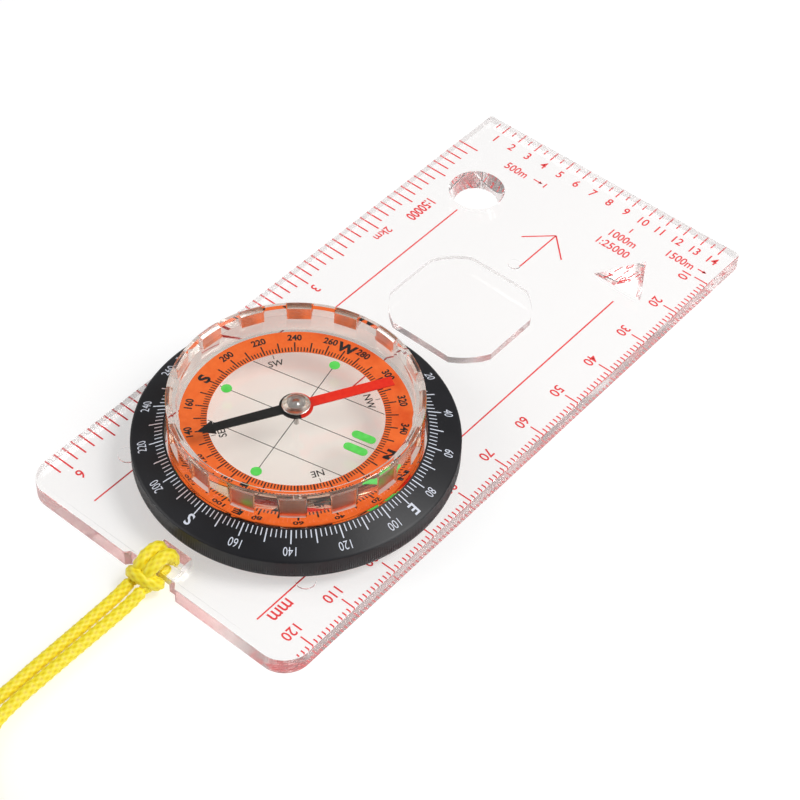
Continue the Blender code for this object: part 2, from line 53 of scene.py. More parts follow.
FOCAL_LENGTH, SENSOR_WIDTH = 96.4, 36.0
CAMERA_PLACE = (0.16327, -0.20553, 0.28077)
CAMERA_RIGHT = Vector((0.7633, 0.6454, 0.0281))
CAMERA_UP = Vector((-0.4919, 0.5524, 0.6730))
CAMERA_BACK = Vector((0.4188, -0.5275, 0.7391))


def make_camera():
    data = bpy.data.cameras.new("camera")
    data.lens = FOCAL_LENGTH
    data.sensor_width = SENSOR_WIDTH
    data.clip_start = 0.01
    camera = bpy.data.objects.new("camera", data)
    turn = Matrix((CAMERA_RIGHT, CAMERA_UP, CAMERA_BACK)).transposed().to_4x4()
    camera.matrix_world = Matrix.Translation(CAMERA_PLACE) @ turn
    bpy.context.scene.collection.objects.link(camera)
    bpy.context.scene.camera = camera


# ---- meshes --------------------------------------------------------------------------------------

def add(name, mesh, skin, body="plate"):
    """A new object with one material, carried by a body, or by none if body is None."""
    obj = bpy.data.objects.new(name, mesh)
    bpy.context.scene.collection.objects.link(obj)
    mesh.materials.clear()
    mesh.materials.append(skin)
    if body:
        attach(obj, body)
    return obj


def mesh_from(name, points, faces):
    mesh = bpy.data.meshes.new(name)
    mesh.from_pydata([Vector(p) * MM for p in points], [], faces)
    mesh.update()
    return mesh


def smooth(mesh, angle=30.0):
    mesh.shade_smooth()
    mesh.set_sharp_from_angle(angle=math.radians(angle))


def direction(azimuth):
    """Unit vector of a compass bearing, clockwise from +Y."""
    angle = math.radians(azimuth)
    return Vector((math.sin(angle), math.cos(angle)))


def arc(centre, radius, start, end, steps):
    points = []
    for i in range(steps + 1):
        angle = math.radians(start + (end - start) * i / steps)
        points.append((centre[0] + radius * math.cos(angle), centre[1] + radius * math.sin(angle)))
    return points


def turned(name, profile, centre, steps, wobble=None):
    """A profile of (radius, height) turned about a vertical axis.

    The profile is a closed loop, or a line from the axis back to it. wobble gives what is added to the radius
    of a profile point at a step round the axis.
    """
    points, faces, rings = [], [], []
    for k, (radius, height) in enumerate(profile):
        if radius == 0.0:
            rings.append([len(points)] * steps)
            points.append((centre[0], centre[1], height))
            continue
        rings.append(range(len(points), len(points) + steps))
        for i in range(steps):
            angle = 2 * math.pi * i / steps
            r = radius + (wobble(k, i) if wobble else 0.0)
            points.append((centre[0] + r * math.cos(angle), centre[1] + r * math.sin(angle), height))
    pairs = list(zip(rings, rings[1:]))
    if profile[0][0] > 0.0:
        pairs.append((rings[-1], rings[0]))
    for upper, lower in pairs:
        for i in range(steps):
            j = (i + 1) % steps
            corners = [upper[i], lower[i], lower[j], upper[j]]
            face = [c for n, c in enumerate(corners) if c not in corners[:n]]
            if len(face) > 2:
                faces.append(face)
    return mesh_from(name, points, faces)


def prism(name, loops, low, high):
    """Flat closed loops, the first outermost, filled and raised from low to high."""
    curve = bpy.data.curves.new(name, "CURVE")
    curve.dimensions = "2D"
    curve.fill_mode = "BOTH"
    curve.extrude = (high - low) / 2 * MM
    for loop in loops:
        spline = curve.splines.new("POLY")
        spline.points.add(len(loop) - 1)
        spline.use_cyclic_u = True
        for point, (x, y) in zip(spline.points, loop):
            point.co = (x * MM, y * MM, 0.0, 1.0)
    mesh = curve_to_mesh(curve)
    mesh.transform(Matrix.Translation((0, 0, (low + high) / 2 * MM)))
    shape = bmesh.new()
    shape.from_mesh(mesh)
    bmesh.ops.remove_doubles(shape, verts=shape.verts, dist=1e-6)
    bmesh.ops.recalc_face_normals(shape, faces=shape.faces)
    shape.to_mesh(mesh)
    shape.free()
    return mesh


def curve_to_mesh(data):
    holder = bpy.data.objects.new("holder", data)
    bpy.context.scene.collection.objects.link(holder)
    bpy.context.view_layer.update()
    graph = bpy.context.evaluated_depsgraph_get()
    mesh = bpy.data.meshes.new_from_object(holder.evaluated_get(graph))
    bpy.data.objects.remove(holder)
    return mesh


def cut(mesh, others, operation="DIFFERENCE"):
    """The mesh after a Boolean with each of the others."""
    target = bpy.data.objects.new("target", mesh)
    bpy.context.scene.collection.objects.link(target)
    helpers = []
    for other in others:
        helper = bpy.data.objects.new("helper", other)
        bpy.context.scene.collection.objects.link(helper)
        helpers.append(helper)
        modifier = target.modifiers.new("cut", "BOOLEAN")
        modifier.operation = operation
        modifier.solver = "EXACT"
        modifier.object = helper
    bpy.context.view_layer.update()
    graph = bpy.context.evaluated_depsgraph_get()
    result = bpy.data.meshes.new_from_object(target.evaluated_get(graph))
    for obj in [target] + helpers:
        bpy.data.objects.remove(obj)
    return result


def box(low, high):
    return prism("box", [[(low[0], low[1]), (high[0], low[1]), (high[0], high[1]), (low[0], high[1])]],
                 low[2], high[2])


def cone(centre, low_radius, high_radius, low, high, steps=96):
    return turned("cone", [(0.0, high), (high_radius, high), (low_radius, low), (0.0, low)], centre, steps)


# ---- printing ------------------------------------------------------------------------------------

class Print:
    """Flat lettering and lines that are gathered into one mesh."""

    def __init__(self):
        self.points, self.faces = [], []

    def put(self, points, faces):
        start = len(self.points)
        self.points += points
        self.faces += [[start + i for i in face] for face in faces]

    def bar(self, a, b, width):
        """A straight stroke from a to b."""
        a, b = Vector(a), Vector(b)
        along = (b - a).normalized()
        side = Vector((-along.y, along.x)) * width / 2
        self.put([tuple(p) for p in (a + side, a - side, b - side, b + side)], [[0, 1, 2, 3]])

    def text(self, words, centre, cap, reading, width=1.0, weight=0.012):
        """Words centred on a point.

        reading is the angle in degrees, counter-clockwise from +X, of the text's line. width stretches the
        letters, and weight thickens them.
        """
        font = bpy.data.curves.new("letters", "FONT")
        font.body = words
        font.align_x = "CENTER"
        font.resolution_u = 3
        font.offset = weight
        mesh = curve_to_mesh(font)
        scale = cap / CAP_OF_FONT
        middle = CAP_OF_FONT / 2
        turn = Matrix.Rotation(math.radians(reading), 2)
        points = []
        for v in mesh.vertices:
            local = Vector((v.co.x * width, v.co.y - middle)) * scale
            points.append(tuple(turn @ local + Vector(centre)))
        self.put(points, [list(p.vertices) for p in mesh.polygons])

    def mesh(self, name, height):
        """The printing as a mesh. height is a number, or a function of the distance from the dial's axis."""
        placed = []
        for x, y in self.points:
            z = height(math.hypot(x - DIAL.x, y - DIAL.y)) if callable(height) else height
            placed.append((x, y, z))
        mesh = mesh_from(name, placed, self.faces)
        shape = bmesh.new()
        shape.from_mesh(mesh)
        for face in shape.faces:
            if face.normal.z < 0:
                face.normal_flip()
        shape.to_mesh(mesh)
        shape.free()
        return mesh


def cap_height():
    """Height of a capital letter in the font's own units."""
    font = bpy.data.curves.new("letters", "FONT")
    font.body = "H"
    mesh = curve_to_mesh(font)
    return max(v.co.y for v in mesh.vertices)


CAP_OF_FONT = cap_height()


def around(azimuth, radius):
    """A place on a circle about the dial's axis."""
    return tuple(DIAL + direction(azimuth) * radius)


# ---- materials -----------------------------------------------------------------------------------

def material(name):
    made = bpy.data.materials.new(name)
    made.use_nodes = True
    tree = made.node_tree
    return made, tree, tree.nodes["Principled BSDF"]


def node(tree, kind, inputs=None, **settings):
    made = tree.nodes.new(kind)
    for key, value in settings.items():
        setattr(made, key, value)
    for key, value in (inputs or {}).items():
        if isinstance(value, bpy.types.NodeSocket):
            tree.links.new(value, made.inputs[key])
        else:
            made.inputs[key].default_value = value
    return made


def mottle(tree, scale, detail=4.0):
    """Noise in the object's own coordinates, in repeats per metre."""
    place = node(tree, "ShaderNodeTexCoord")
    return node(tree, "ShaderNodeTexNoise",
                {"Vector": place.outputs["Object"], "Scale": scale, "Detail": detail})


def bumped(tree, shader, height, strength, distance):
    bump = node(tree, "ShaderNodeBump", {"Height": height, "Strength": strength, "Distance": distance})
    tree.links.new(bump.outputs["Normal"], shader.inputs["Normal"])


def mixed(tree, factor, low, high):
    """A colour that runs from low to high over the middle of the factor's range."""
    ramp = node(tree, "ShaderNodeValToRGB", {"Fac": factor})
    ramp.color_ramp.elements[0].color = (*low, 1.0)
    ramp.color_ramp.elements[1].color = (*high, 1.0)
    ramp.color_ramp.elements[0].position = 0.3
    ramp.color_ramp.elements[1].position = 0.7
    return ramp


# A face this near upright is a wall. WALL_HAZE is the share of light that a wall scatters
UPRIGHT, WALL_HAZE = 0.2, 0.25
ABSORPTION = 12.0


def clear(name, tint, ior=1.49, roughness=0.0, waviness=0.02, side=0.0, body=(1.0, 1.0, 1.0)):
    """Clear plastic that lets lamp light straight through.

    tint colours what is seen along its depth, and body what is seen through its faces. side is the roughness
    of its upright walls, which are less polished than its flat faces and a little hazy.
    """
    made, tree, shader = material(name)
    shader.inputs["Base Color"].default_value = (*body, 1.0)
    shader.inputs["Transmission Weight"].default_value = 1.0
    shader.inputs["Roughness"].default_value = roughness
    shader.inputs["IOR"].default_value = ior
    noise = mottle(tree, 60.0, 2.0)
    bumped(tree, shader, noise.outputs["Fac"], waviness, 0.0002)
    surface = shader
    if side:
        facing = node(tree, "ShaderNodeNewGeometry")
        parts = node(tree, "ShaderNodeSeparateXYZ", {0: facing.outputs["True Normal"]})
        upright = node(tree, "ShaderNodeMath", {0: parts.outputs["Z"]}, operation="ABSOLUTE")
        wall = node(tree, "ShaderNodeMath", {0: upright.outputs[0], 1: UPRIGHT}, operation="LESS_THAN")
        amount = node(tree, "ShaderNodeMath", {0: wall.outputs[0], 1: side}, operation="MULTIPLY")
        tree.links.new(amount.outputs[0], shader.inputs["Roughness"])
        haze = node(tree, "ShaderNodeBsdfDiffuse", {"Color": (0.5, 0.4, 0.4, 1.0)})
        share = node(tree, "ShaderNodeMath", {0: wall.outputs[0], 1: WALL_HAZE}, operation="MULTIPLY")
        surface = node(tree, "ShaderNodeMixShader",
                       {0: share.outputs[0], 1: shader.outputs[0], 2: haze.outputs[0]})
    path = node(tree, "ShaderNodeLightPath")
    through = node(tree, "ShaderNodeBsdfTransparent", {"Color": (0.999, 0.998, 0.997, 1.0)})
    passed = node(tree, "ShaderNodeMath",
                  {0: path.outputs["Is Shadow Ray"], 1: path.outputs["Is Diffuse Ray"]}, operation="MAXIMUM")
    mix = node(tree, "ShaderNodeMixShader",
               {0: passed.outputs[0], 1: surface.outputs[0], 2: through.outputs[0]})
    out = tree.nodes["Material Output"]
    tree.links.new(mix.outputs[0], out.inputs["Surface"])
    depth = node(tree, "ShaderNodeVolumeAbsorption", {"Color": (*tint, 1.0), "Density": ABSORPTION})
    tree.links.new(depth.outputs[0], out.inputs["Volume"])
    return made


def ink(name, low, high, roughness=0.55):
    """Matt printing ink, mottled between two close colours."""
    made, tree, shader = material(name)
    tone = mixed(tree, mottle(tree, 900.0).outputs["Fac"], low, high)
    tree.links.new(tone.outputs["Color"], shader.inputs["Base Color"])
    shader.inputs["Roughness"].default_value = roughness
    shader.inputs["Specular IOR Level"].default_value = 0.2
    return made


def black_plastic():
    """Satin black moulding with a fine grain."""
    made, tree, shader = material("black_plastic")
    grain = mottle(tree, 2600.0, 3.0)
    patch = mottle(tree, 120.0, 2.0)
    tone = mixed(tree, patch.outputs["Fac"], (0.006, 0.006, 0.008), (0.01, 0.01, 0.013))
    tree.links.new(tone.outputs["Color"], shader.inputs["Base Color"])
    rough = node(tree, "ShaderNodeMapRange",
                 {"Value": patch.outputs["Fac"], "To Min": 0.36, "To Max": 0.46})
    tree.links.new(rough.outputs[0], shader.inputs["Roughness"])
    shader.inputs["Specular IOR Level"].default_value = 0.38
    bumped(tree, shader, grain.outputs["Fac"], 0.25, 0.00004)
    return made


def metal(name, colour, roughness, grain):
    """Bare metal with a fine grain, in repeats per metre."""
    made, tree, shader = material(name)
    noise = mottle(tree, grain, 3.0)
    tone = mixed(tree, noise.outputs["Fac"], tuple(c * 0.85 for c in colour), colour)
    tree.links.new(tone.outputs["Color"], shader.inputs["Base Color"])
    shader.inputs["Metallic"].default_value = 1.0
    rough = node(tree, "ShaderNodeMapRange",
                 {"Value": noise.outputs["Fac"], "To Min": roughness * 0.8, "To Max": roughness * 1.3})
    tree.links.new(rough.outputs[0], shader.inputs["Roughness"])
    bumped(tree, shader, noise.outputs["Fac"], 0.08, 0.00003)
    return made


def needle_paint():
    """Red on the north half and black on the south half, thinly brushed."""
    made, tree, shader = material("needle_paint")
    place = node(tree, "ShaderNodeTexCoord")
    shifted = node(tree, "ShaderNodeVectorMath",
                   {0: place.outputs["Object"], 1: (DIAL.x * MM, DIAL.y * MM, 0.0)}, operation="SUBTRACT")
    north = direction(NEEDLE_AZIMUTH)
    along = node(tree, "ShaderNodeVectorMath", {0: shifted.outputs[0], 1: (north.x, north.y, 0.0)},
                 operation="DOT_PRODUCT")
    side = node(tree, "ShaderNodeMath", {0: along.outputs["Value"], 1: 0.0}, operation="GREATER_THAN")
    noise = mottle(tree, 1500.0)
    red = mixed(tree, noise.outputs["Fac"], (0.82, 0.016, 0.004), (0.88, 0.03, 0.008))
    black = mixed(tree, noise.outputs["Fac"], (0.006, 0.006, 0.006), (0.014, 0.013, 0.013))
    tone = node(tree, "ShaderNodeMix",
                {0: side.outputs[0], 6: black.outputs["Color"], 7: red.outputs["Color"]}, data_type="RGBA")
    tree.links.new(tone.outputs[2], shader.inputs["Base Color"])
    shader.inputs["Roughness"].default_value = 0.4
    shader.inputs["Specular IOR Level"].default_value = 0.15
    bumped(tree, shader, noise.outputs["Fac"], 0.2, 0.00004)
    return made


def cord_yarn():
    """Shiny yellow yarn, with a painted highlight on the crowns of the plaits and painted shade between them.
    """
    made, tree, shader = material("cord_yarn")
    crown = node(tree, "ShaderNodeAttribute", attribute_name="crown", attribute_type="GEOMETRY")
    fibres = mottle(tree, 5200.0, 5.0)
    # The braid's height sets the colour: the deep brownish yellow low between the plaits is painted shade,
    # and the bright yellow on their crowns is a painted highlight.
    tone = node(tree, "ShaderNodeValToRGB", {"Fac": crown.outputs["Fac"]})
    tone.color_ramp.elements[0].color = (0.78, 0.56, 0.0, 1.0)
    tone.color_ramp.elements[1].color = (1.0, 0.9, 0.07, 1.0)
    middle = tone.color_ramp.elements.new(0.45)
    middle.color = (0.97, 0.78, 0.01, 1.0)
    tree.links.new(tone.outputs["Color"], shader.inputs["Base Color"])
    shader.inputs["Roughness"].default_value = 0.42
    shader.inputs["Sheen Weight"].default_value = 0.25
    shader.inputs["Sheen Tint"].default_value = (1.0, 0.9, 0.4, 1.0)
    bumped(tree, shader, fibres.outputs["Fac"], 0.5, 0.00008)
    return made


# ---- lanyard -------------------------------------------------------------------------------------

CORD = 2.3
ROUTE_STEP = 0.35
COIL = Vector((-0.3, -124.0))
COIL_RADII = (15.85, 13.5, 11.15)
LAYER = 2.35
GROUND = 1.18
RIGHT_STRAND = ((1.2, -66.2, 2.3), (1.1, -70, 1.45), (1.0, -76, 1.2), (0.95, -82, 1.18), (1.0, -88, 1.18),
                (1.1, -94, 1.18), (1.9, -99.5, 1.18), (4.9, -104.4, 1.18), (8.4, -107.2, 1.18),
                (11.4, -109.6, 1.18), (14.1, -113.6, 1.18), (15.4, -118.6, 1.18))
LEFT_STRAND = ((-1.5, -66.2, 2.3), (-1.55, -70, 1.45), (-1.55, -76, 1.2), (-1.5, -82, 1.18),
               (-1.45, -88, 1.18), (-1.35, -94, 1.18), (-2.0, -99.5, 1.3), (-5.4, -104.4, 2.0),
               (-9.2, -107.2, 2.8), (-12.0, -109.6, 3.6), (-14.7, -113.6, 5.0), (-16.0, -118.6, 5.88))
# Column and layer that each turn of the coil lies in
TURNS = ((0, 0), (1, 0), (2, 0), (2, 1), (1, 1), (0, 1), (1, 2), (0, 2))
TURN_POINTS = 24
# The last turn stops part way round, and each turn moves over to the next from this part of it on
LAST_TURN = 0.5
SHIFT_START = 0.84


def coil_points():
    """The coil's turns, one after another, each in its own column and layer."""
    points = []
    steps = round((len(TURNS) - 1 + LAST_TURN) * TURN_POINTS)
    for i in range(steps + 1):
        turn = i / TURN_POINTS
        index = min(int(turn), len(TURNS) - 1)
        part = turn - index
        shift = 0.0
        if part > SHIFT_START and index + 1 < len(TURNS):
            t = (part - SHIFT_START) / (1 - SHIFT_START)
            shift = t * t * (3 - 2 * t)
        now, after = TURNS[index], TURNS[min(index + 1, len(TURNS) - 1)]
        radius = COIL_RADII[now[0]] * (1 - shift) + COIL_RADII[after[0]] * shift
        z = GROUND + LAYER * (now[1] * (1 - shift) + after[1] * shift)
        angle = -2 * math.pi * turn
        points.append((COIL.x + radius * math.cos(angle), COIL.y + radius * math.sin(angle), z))
    return points


SPAN_STEPS = 24


def smoothed(points, spacing):
    """Evenly spaced points along a Catmull-Rom curve through the given ones, and its length."""
    knots = [Vector(p) for p in points]
    knots = [2 * knots[0] - knots[1]] + knots + [2 * knots[-1] - knots[-2]]
    fine = []
    for a, b, c, d in zip(knots, knots[1:], knots[2:], knots[3:]):
        for i in range(SPAN_STEPS):
            t = i / SPAN_STEPS
            fine.append(0.5 * (2 * b + (c - a) * t + (2 * a - 5 * b + 4 * c - d) * t ** 2
                               + (3 * b - a - 3 * c + d) * t ** 3))
    fine.append(knots[-2])
    lengths = [0.0]
    for before, after in zip(fine, fine[1:]):
        lengths.append(lengths[-1] + (after - before).length)
    count = max(2, round(lengths[-1] / spacing))
    route, k = [], 0
    for i in range(count + 1):
        want = lengths[-1] * i / count
        while k < len(fine) - 2 and lengths[k + 1] < want:
            k += 1
        span = lengths[k + 1] - lengths[k]
        route.append(fine[k].lerp(fine[k + 1], (want - lengths[k]) / span if span else 0.0))
    return route, lengths[-1]


PLAIT_LENGTH = 1.7
PLAITS = 6
RELIEF = 0.24
SIDES = 36
END_TAPER = (0.55, 0.85)


def plait(along, turn):
    """How proud the braid stands at a place: two families of yarn that cross over and under."""
    a = along / PLAIT_LENGTH + PLAITS * turn
    b = along / PLAIT_LENGTH - PLAITS * turn
    return 0.5 + 0.25 * (math.cos(2 * math.pi * a) + math.cos(2 * math.pi * b))


def tube(route, radius, squash=None):
    """A braided tube along the route, with rounded ends. squash gives a radius factor at a place."""
    points, faces, crowns = [], [], []
    side = Vector((0, 0, 1)).cross(route[1] - route[0]).normalized()
    travelled = 0.0
    last = len(route) - 1
    for k, place in enumerate(route):
        along = (route[min(k + 1, last)] - route[max(k - 1, 0)]).normalized()
        side = (side - along * side.dot(along)).normalized()
        other = along.cross(side)
        if k:
            travelled += (place - route[k - 1]).length
        near_end = min(k, last - k)
        taper = END_TAPER[near_end] if near_end < len(END_TAPER) else 1.0
        factor = taper * (squash(place) if squash else 1.0)
        for i in range(SIDES):
            turn = i / SIDES
            crown = plait(travelled, turn)
            r = (radius - RELIEF + RELIEF * crown) * factor
            angle = 2 * math.pi * turn
            points.append(place + (side * math.cos(angle) + other * math.sin(angle)) * r)
            crowns.append(crown)
    for k in range(last):
        for i in range(SIDES):
            j = (i + 1) % SIDES
            a, b = k * SIDES, (k + 1) * SIDES
            faces.append([a + i, a + j, b + j, b + i])
    for k in (0, last):
        ring = [k * SIDES + i for i in range(SIDES)]
        faces.append(ring[::-1] if k == 0 else ring)
    return points, faces, crowns


def braided(name, tubes, skin):
    """One piece made of braided tubes, with the braid's height kept for its material, which paints shade
    between the plaits and highlights on their crowns by it.
    """
    points, faces, crowns = [], [], []
    for more, their_faces, their_crowns in tubes:
        start = len(points)
        points += more
        crowns += their_crowns
        faces += [[start + i for i in face] for face in their_faces]
    mesh = mesh_from(name, points, faces)
    mesh.attributes.new("crown", "FLOAT", "POINT").data.foreach_set("value", crowns)
    mesh.shade_smooth()
    return add(name, mesh, skin)


TURN_RADIUS, WRAP_RADIUS, STUB_RADIUS = 1.25, 1.2, 1.1


def clear_of_floor(place):
    """The radius factor that keeps a turn of the knot above the floor."""
    return min(1.0, (place.z - 0.08) / 1.27)


def knot(skin):
    """The hitch round the bar: two turns over it and a wrap across their rear."""
    tubes = []
    for x, lean in ((-1.7, 0.15), (0.65, -0.15)):
        loop = [(x - lean, -59.05, 1.7), (x - lean, -59.0, 3.2), (x, -59.5, 4.5), (x, -60.9, 5.1),
                (x, -62.5, 5.0), (x + lean, -63.9, 4.4), (x + lean, -64.6, 3.2), (x + lean, -64.4, 1.8),
                (x, -63.4, 1.0), (x, -61.2, 0.9), (x - lean, -59.7, 1.0)]
        route, _ = smoothed(loop, ROUTE_STEP)
        tubes.append(tube(route, TURN_RADIUS, clear_of_floor))
    wrap = [(-2.0, -63.6, 1.5), (-2.7, -64.5, 2.1), (-2.3, -65.2, 3.0), (-1.1, -65.5, 3.6), (0.3, -65.4, 3.6),
            (1.5, -64.9, 3.0), (2.1, -64.0, 2.3), (1.8, -63.0, 1.5)]
    route, _ = smoothed(wrap, ROUTE_STEP)
    tubes.append(tube(route, WRAP_RADIUS))
    for x in (-1.45, 1.2):
        route, _ = smoothed([(x, -62.9, 1.9), (x, -64.6, 2.3), (x, -66.6, 2.1)], ROUTE_STEP)
        tubes.append(tube(route, STUB_RADIUS))
    obj = braided("lanyard_knot", tubes, skin)
    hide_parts("lanyard_hitch")
    return obj


def lanyard(skin):
    points = list(RIGHT_STRAND) + coil_points() + list(reversed(LEFT_STRAND))
    route, length = smoothed(points, ROUTE_STEP)
    cord = braided("lanyard_cord", [tube(route, CORD / 2)], skin)
    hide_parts("lanyard_strand_left", "lanyard_strand_right", "lanyard_coil")
    hitch = knot(skin)


# ---- plate ---------------------------------------------------------------------------------------

HALF_WIDTH, HALF_LENGTH = 30.0, 63.35
RIM_WIDTH = 0.25
HOLE = (-18.2, 44.1)
HOLE_TOP_RADIUS, HOLE_LOW_RADIUS = 5.4, 4.25
TRIANGLE = ((12.5, 40.65), (17.9, 49.8), (23.1, 40.75))
TRIANGLE_TAPER = 0.72
SLOT = ((-2.85, -59.55), (3.35, -57.05))
SLOT_NECK_TOP = 1.7
BOSS_AZIMUTHS, BOSS_ORBIT = (135.0, 225.0), 28.7
GATE_CENTRE = (0.0, 32.7)
LENS_CENTRE = (0.15, 16.35)
LENS_RADIUS, LENS_HALF_WIDTH, LENS_HALF_LENGTH = 13.0, 11.7, 11.3
LENS_EDGE, LENS_CROWN = 1.45, 2.0


def plate_outline():
    """The plate from above, with the notch behind its slot."""
    front, rear, depth = 0.7, 5.0, 0.9
    notch = -HALF_LENGTH + depth
    points = arc((HALF_WIDTH - front, HALF_LENGTH - front), front, 0, 90, 5)
    points += arc((-HALF_WIDTH + front, HALF_LENGTH - front), front, 90, 180, 5)
    points += arc((-HALF_WIDTH + rear, -HALF_LENGTH + rear), rear, 180, 270, 24)
    points += [(-6.0, -HALF_LENGTH), (-5.2, notch), (4.7, notch), (5.5, -HALF_LENGTH)]
    points += arc((HALF_WIDTH - rear, -HALF_LENGTH + rear), rear, 270, 360, 24)
    return points


def rounded_rim(mesh, width, segments):
    """Rounds the edges round the highest face."""
    shape = bmesh.new()
    shape.from_mesh(mesh)
    highest = max(v.co.z for v in shape.verts)
    rim = []
    for edge in shape.edges:
        flat = sorted(abs(face.normal.z) for face in edge.link_faces)
        if all(v.co.z > highest - 1e-6 for v in edge.verts) and flat[0] < 0.5 < flat[-1]:
            rim.append(edge)
    bmesh.ops.bevel(shape, geom=rim, offset=width * MM, segments=segments, affect="EDGES", profile=0.5)
    shape.to_mesh(mesh)
    shape.free()


def tapered(outline, scale, low, high):
    """A prism that shrinks about its middle towards its foot."""
    mesh = prism("tapered", [outline], low, high)
    centre = Vector((sum(p[0] for p in outline), sum(p[1] for p in outline))) / len(outline) * MM
    for v in mesh.vertices:
        factor = 1.0 + (scale - 1.0) * (high * MM - v.co.z) / ((high - low) * MM)
        v.co.x = centre.x + (v.co.x - centre.x) * factor
        v.co.y = centre.y + (v.co.y - centre.y) * factor
    return mesh


def lens_outline():
    """A circle with four flats."""
    start = math.degrees(math.acos(LENS_HALF_WIDTH / LENS_RADIUS))
    end = math.degrees(math.asin(LENS_HALF_LENGTH / LENS_RADIUS))
    points = arc(LENS_CENTRE, LENS_RADIUS, start, end, 24)
    points += arc(LENS_CENTRE, LENS_RADIUS, 180 - end, 180 - start, 24)
    points += arc(LENS_CENTRE, LENS_RADIUS, 180 + start, 180 + end, 24)
    points += arc(LENS_CENTRE, LENS_RADIUS, 360 - end, 360 - start, 24)
    return points


def lens_dome():
    """The magnifier, with a foot that sinks into the plate."""
    rise = LENS_CROWN - LENS_EDGE
    sphere = (LENS_RADIUS ** 2 + rise ** 2) / (2 * rise)
    reach, foot, steps = LENS_RADIUS + 0.3, TOP - 0.4, 24
    profile = [(0.0, TOP + LENS_CROWN)]
    for i in range(1, steps + 1):
        r = reach * i / steps
        profile.append((r, TOP + LENS_CROWN - sphere + math.sqrt(sphere ** 2 - r ** 2)))
    profile += [(reach, foot), (0.0, foot)]
    mesh = turned("lens", profile, LENS_CENTRE, 128)
    return cut(mesh, [prism("flats", [lens_outline()], 0.0, 12.0)], "INTERSECT")


def plate(skin):
    """The clear plate, made in one with its lens, bosses and gate mark."""
    mesh = prism("plate", [plate_outline()], 0.0, TOP)
    rounded_rim(mesh, RIM_WIDTH, 4)
    bosses = []
    for azimuth in BOSS_AZIMUTHS:
        bosses.append(cone(around(azimuth, BOSS_ORBIT), 1.8, 1.7, TOP - 0.4, TOP + 0.2, 48))
    bosses.append(cone(GATE_CENTRE, 1.3, 1.2, TOP - 0.3, TOP + 0.16, 40))
    mesh = cut(mesh, bosses + [lens_dome()], "UNION")
    slope = (HOLE_TOP_RADIUS - HOLE_LOW_RADIUS) / TOP
    cutters = [cone(HOLE, HOLE_LOW_RADIUS - slope, HOLE_TOP_RADIUS + slope, -1.0, TOP + 1.0),
               tapered(TRIANGLE, TRIANGLE_TAPER, -0.01, TOP + 0.01),
               box((*SLOT[0], -1.0), (*SLOT[1], TOP + 1.0)),
               box((SLOT[0][0], -HALF_LENGTH - 1.0, -1.0), (SLOT[1][0], SLOT[0][1] + 1.0, SLOT_NECK_TOP))]
    mesh = cut(mesh, cutters)
    smooth(mesh, 8.0)
    obj = add("clear_plate", mesh, skin)
    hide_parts("baseplate", "magnifier_lens")


# Scale labels stand a little behind their ticks, and the first further, clear of the lettering ahead of it
LABEL_DROP, FIRST_LABEL_DROP = 0.2, 0.75
PRINT_HEIGHT = 0.04
RIGHT_ZERO, LEFT_ZERO = 64.15, 64.65


def plate_print(red):
    """The scales on the plate's underside."""
    print_ = Print()
    line, tick = 0.28, 0.27
    for x in (-18.6, 18.6):
        print_.bar((x, 38.8), (x, -57.95), line)
    tip, wing, tail = (0.0, 45.7), 4.75, 34.4
    print_.bar((0.0, 45.6), (0.0, tail), line)
    for side in (-1, 1):
        print_.bar(tip, (side * wing, 41.1), line)
    print_.bar((0.0, 0.0), (0.0, -15.3), line)
    # Front scale
    edge = HALF_LENGTH - 0.05
    for k in range(1, 15):
        x = 4.0 * k - 30.0
        print_.bar((x, edge), (x, HALF_LENGTH - 1.3), tick)
        print_.bar((x - 2.0, edge), (x - 2.0, HALF_LENGTH - 0.7), tick)
        print_.text(str(k), (x, 60.05), 1.9, 0.0, 0.9)
    print_.text("500m", (-17.1, 55.35), 1.85, 0.0, 0.85)
    print_.text("1000m", (9.9, 53.55), 1.85, 0.0, 0.85)
    print_.text("1:25000", (9.8, 50.4), 1.85, 0.0, 0.87)
    print_.text("1500m", (21.4, 56.15), 1.85, 0.0, 0.85)
    for x, y, length in ((-11.1, 55.5, 1.9), (27.1, 56.3, 1.7)):
        print_.bar((x - length, y), (x, y), tick)
        print_.put([(x + 0.25, y), (x - 0.55, y + 0.4), (x - 0.55, y - 0.4)], [[0, 1, 2]])
    print_.bar((-10.2, 56.1), (-10.2, 54.8), tick)
    print_.bar((9.9, 57.0), (9.9, 55.7), tick)
    # Right scale
    for n in range(10, 124):
        y = RIGHT_ZERO - n
        long_tick = n % 10 == 0
        inner = HALF_WIDTH - (3.85 if long_tick else 2.0)
        print_.bar((HALF_WIDTH - 0.05, y), (inner, y), tick)
        if long_tick:
            drop = FIRST_LABEL_DROP if n == 10 else LABEL_DROP
            print_.text(str(n), (24.45, y - drop), 1.9, -90.0, 0.92)
    print_.text("mm", (20.5, -54.0), 2.6, -90.0, 0.85)
    # Left scale
    for k in range(5, 62):
        y = LEFT_ZERO - 2.0 * k
        long_tick = k % 5 == 0
        inner = -26.4 if long_tick else -27.35
        print_.bar((-HALF_WIDTH + 0.05, y), (inner, y), tick * 1.2)
    print_.text("1:50000", (-23.9, 34.3), 2.1, -90.0, 0.72, 0.02)
    print_.text("2km", (-24.9, 24.15), 1.7, -90.0, 0.95)
    for label, y in (("3", 4.65), ("4", -15.35), ("5", -35.35), ("6", -55.35)):
        print_.text(label, (-24.6, y), 2.0, -90.0, 0.9)
    add("plate_print", print_.mesh("plate_print", PRINT_HEIGHT), red)


# ---- degree ring ---------------------------------------------------------------------------------

# Radius and height of the inner and outer ends of the ring's sloping face
RING_TOP = ((22.3, 5.7), (27.7, 4.15))
RING_STEPS = 960
RIB_DEPTH = 0.07
RIBBED_POINTS = (6, 7, 8)


